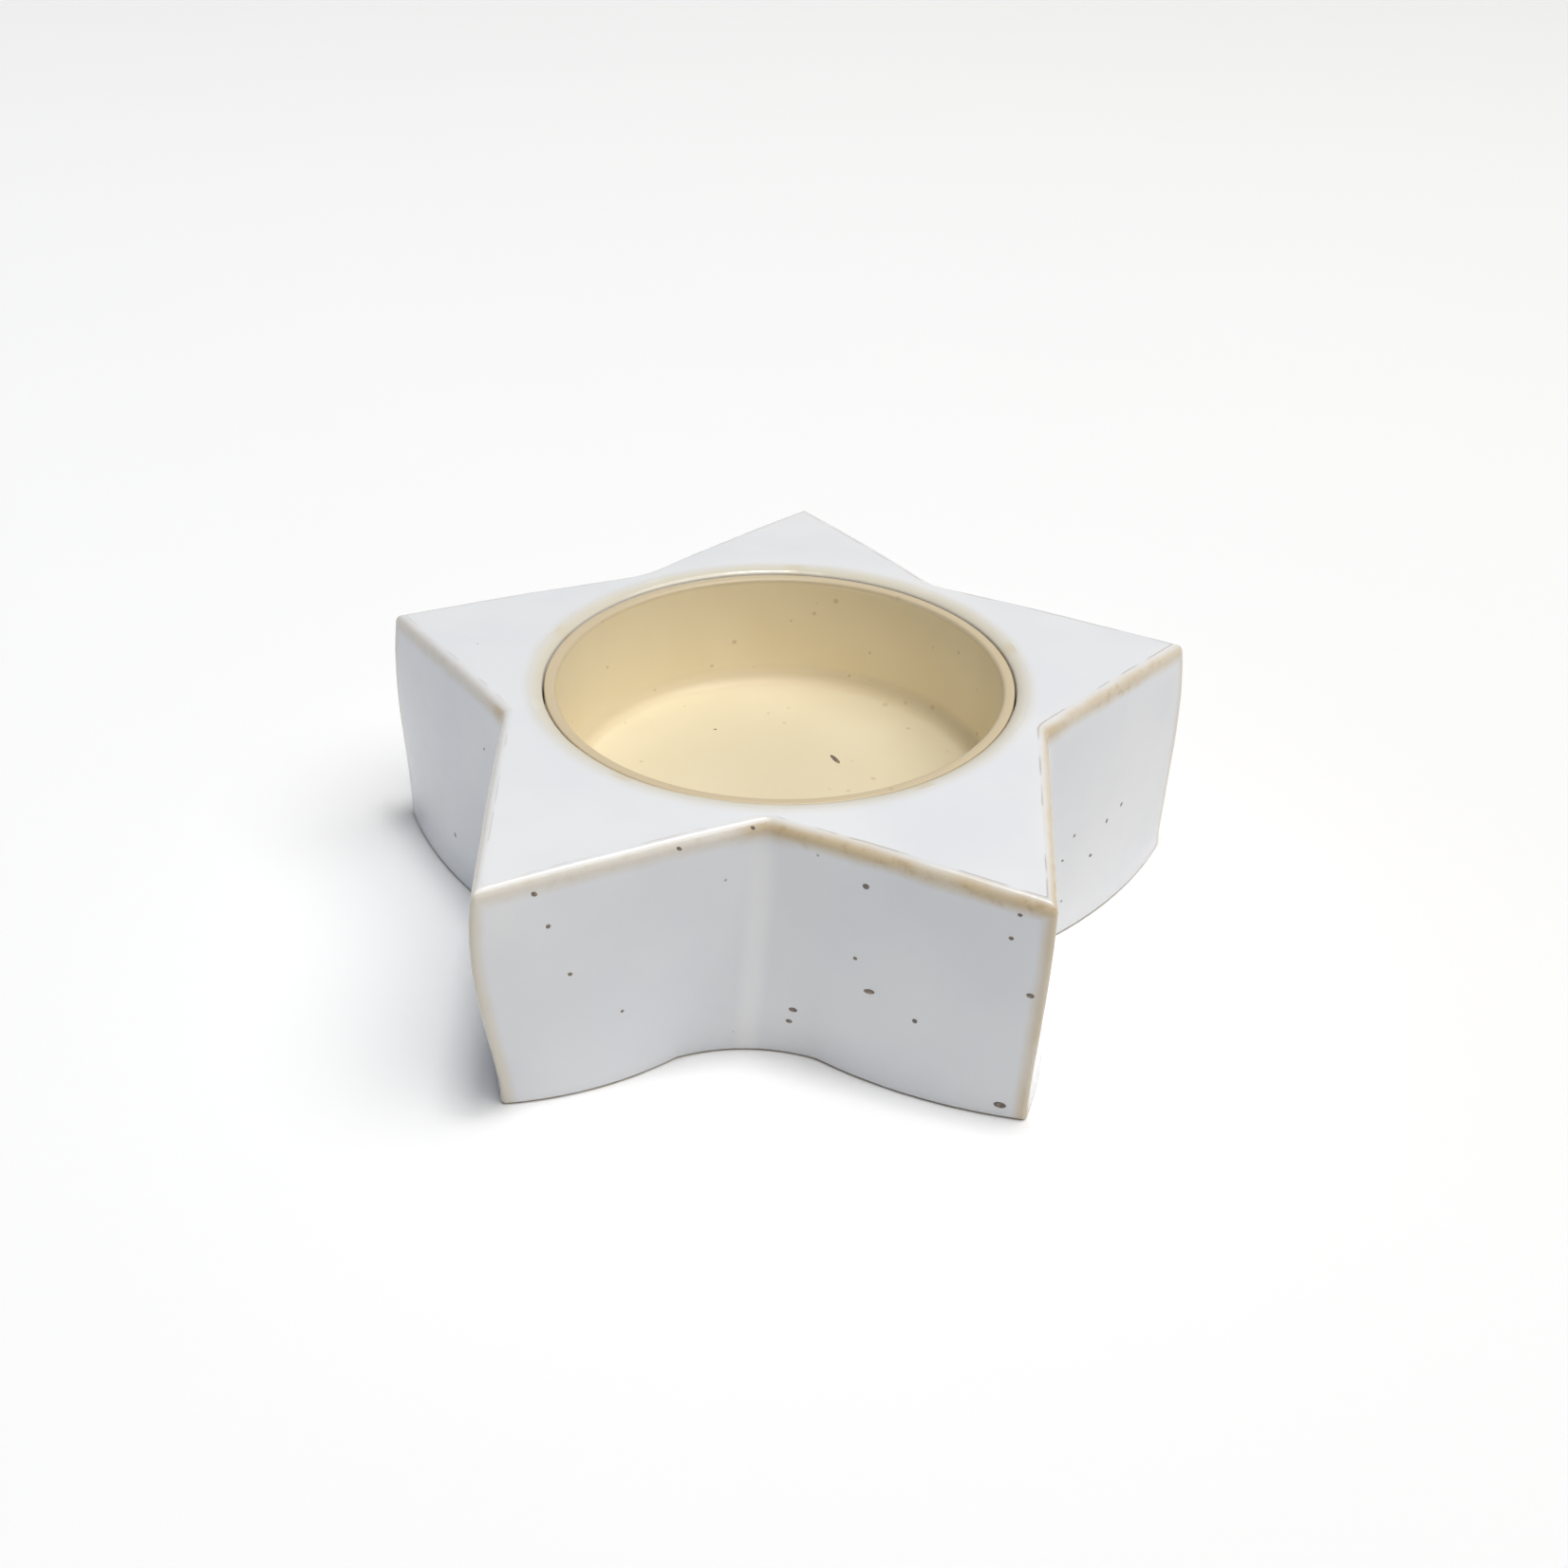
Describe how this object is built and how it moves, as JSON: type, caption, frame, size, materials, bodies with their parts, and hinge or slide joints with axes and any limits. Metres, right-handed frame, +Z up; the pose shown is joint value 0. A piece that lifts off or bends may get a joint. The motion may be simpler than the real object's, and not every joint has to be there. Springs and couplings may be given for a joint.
{
  "type": "tealight holder",
  "caption": "Low star-shaped stoneware holder with a round glazed recess that seats a tealight candle.",
  "frame": {"origin": "on the axis of the round recess, in the plane that the holder stands on", "axes": "+Z up out of the recess; +Y towards the back arm of the star; +X to the right seen from the front"},
  "size_m": [0.0734, 0.0715, 0.0236],
  "materials": {
    "white_glaze": "glossy",
    "cream_glaze": "satin",
    "bare_stoneware": "matt"
  },
  "bodies": {
    "root": {"star_shell": "white_glaze", "tealight_cup": "cream_glaze", "base_plate": "bare_stoneware"}
  },
  "joints": []
}
